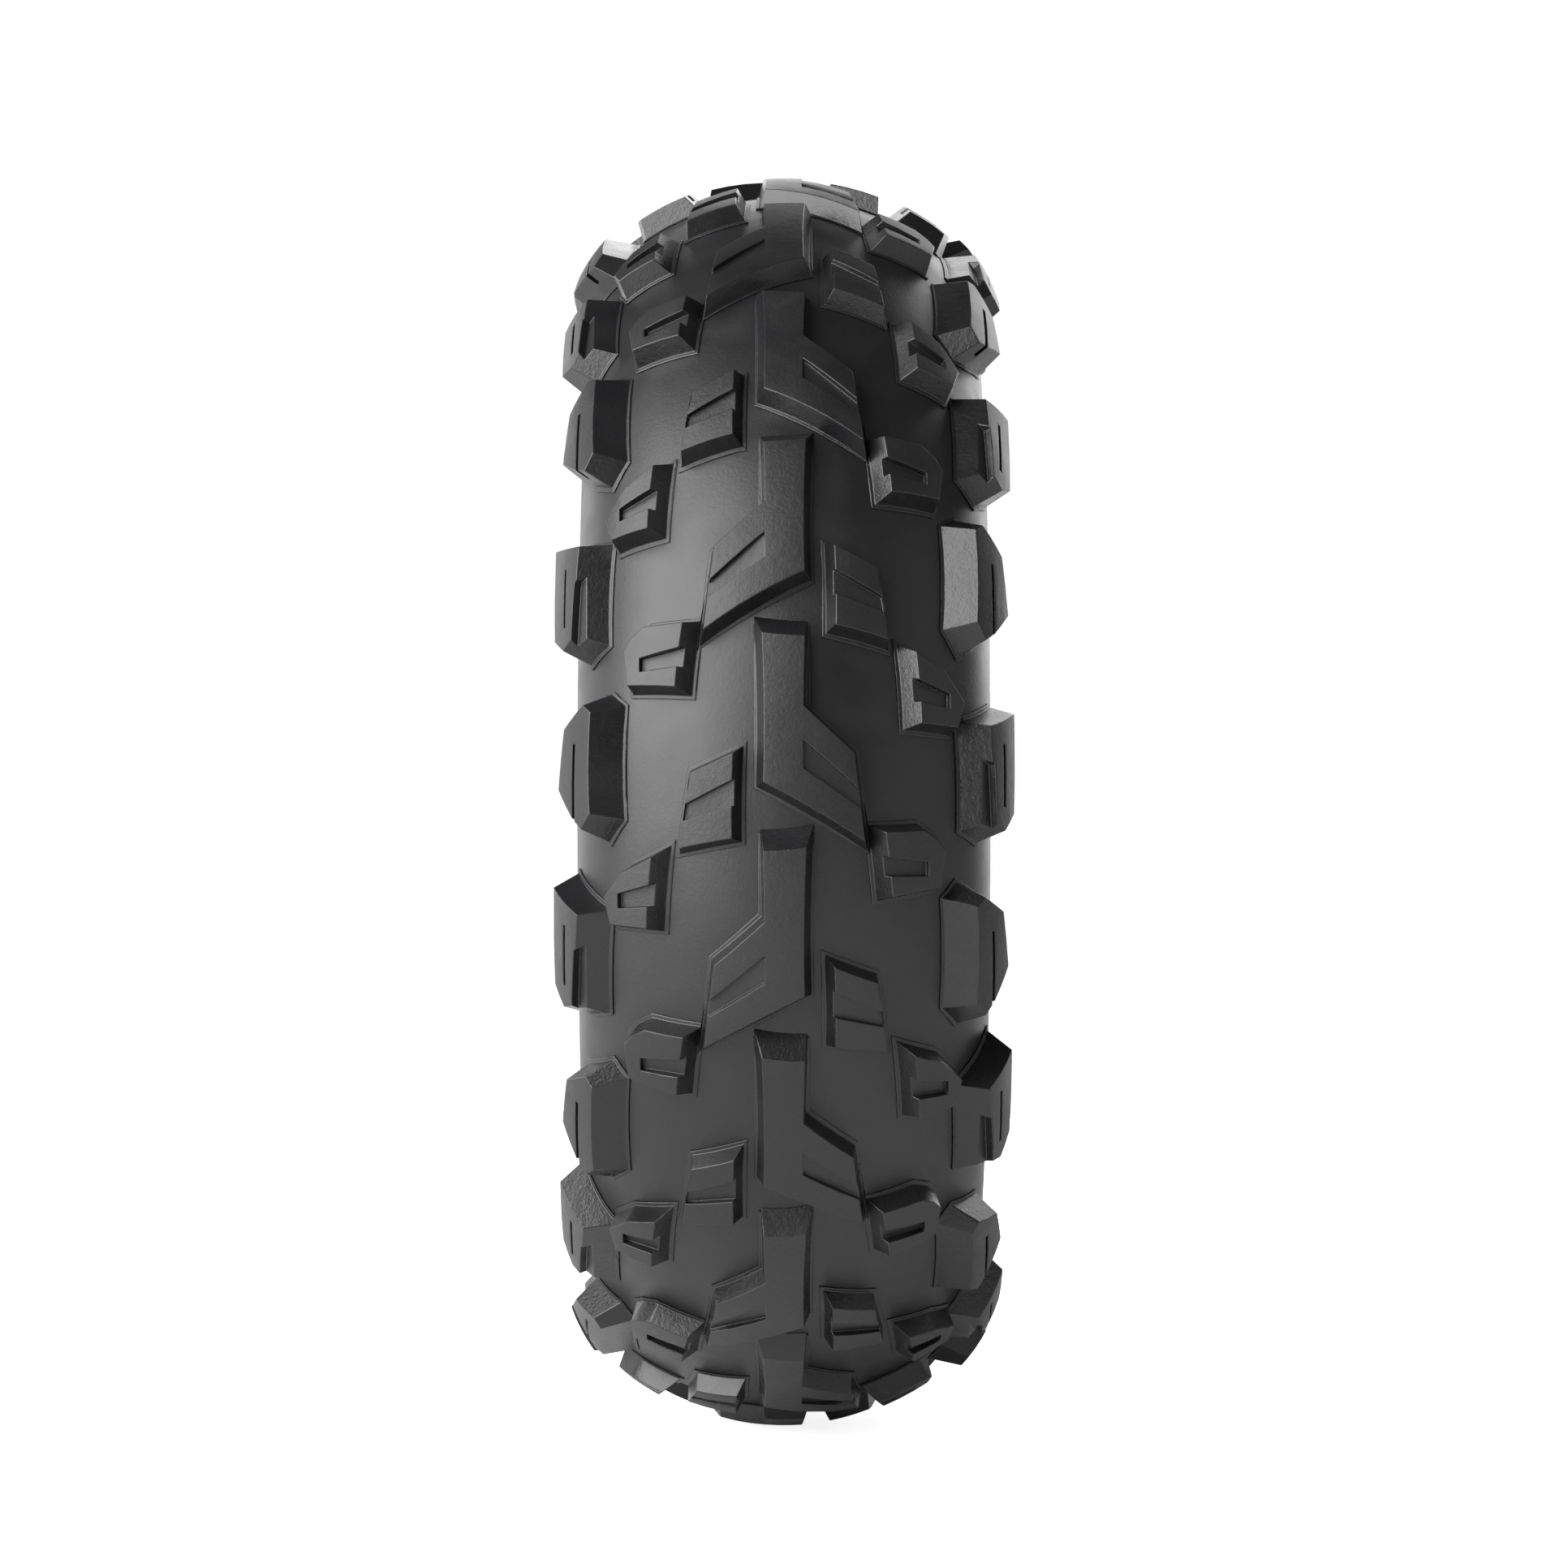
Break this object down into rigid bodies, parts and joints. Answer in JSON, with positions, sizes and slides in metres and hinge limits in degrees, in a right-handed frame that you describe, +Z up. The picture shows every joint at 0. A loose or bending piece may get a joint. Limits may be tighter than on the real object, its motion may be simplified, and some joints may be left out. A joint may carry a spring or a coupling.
{
  "type": "bicycle tire",
  "caption": "Wide black off-road bicycle tire with a stepped centre row, slotted transition knobs and tall faceted side knobs round a flat crown.",
  "frame": {"origin": "centre of the tire, on its axle line and in its mid-plane", "axes": "+Y along the axle the tire spins about, +Z up, +X to the tread's front; the centre knobs' ramps face +Z at +X"},
  "size_m": [0.3912, 0.1328, 0.3912],
  "materials": {
    "tread_rubber": "satin moulded black rubber",
    "sidewall_rubber": "satin moulded black rubber, thin skin",
    "chafer_rubber": "matt black rubberised strip",
    "liner_rubber": "smooth dull black airtight rubber",
    "apex_rubber": "hard black filler rubber",
    "casing_cord": "rubber-coated nylon cord ply",
    "breaker_cord": "rubber-coated puncture-resistant woven belt",
    "bead_aramid": "bundled aramid strand in rubber"
  },
  "bodies": {
    "root": {"tread_base": "tread_rubber", "inner_liner": "liner_rubber", "casing_ply_inner": "casing_cord", "casing_ply_outer": "casing_cord", "breaker_belt": "breaker_cord", "bead_core_left": "bead_aramid", "bead_apex_left": "apex_rubber", "chafer_left": "chafer_rubber", "sidewall_left": "sidewall_rubber", "bead_core_right": "bead_aramid", "bead_apex_right": "apex_rubber", "chafer_right": "chafer_rubber", "sidewall_right": "sidewall_rubber", "centre_knobs_left_wing": "tread_rubber", "centre_knobs_right_wing": "tread_rubber", "inner_knobs_left": "tread_rubber", "inner_knobs_right": "tread_rubber", "transition_knobs_a_left": "tread_rubber", "transition_knobs_a_right": "tread_rubber", "transition_knobs_b_left": "tread_rubber", "transition_knobs_b_right": "tread_rubber", "side_knobs_1_left": "tread_rubber", "side_knobs_1_right": "tread_rubber", "side_knobs_2_left": "tread_rubber", "side_knobs_2_right": "tread_rubber"}
  },
  "joints": []
}
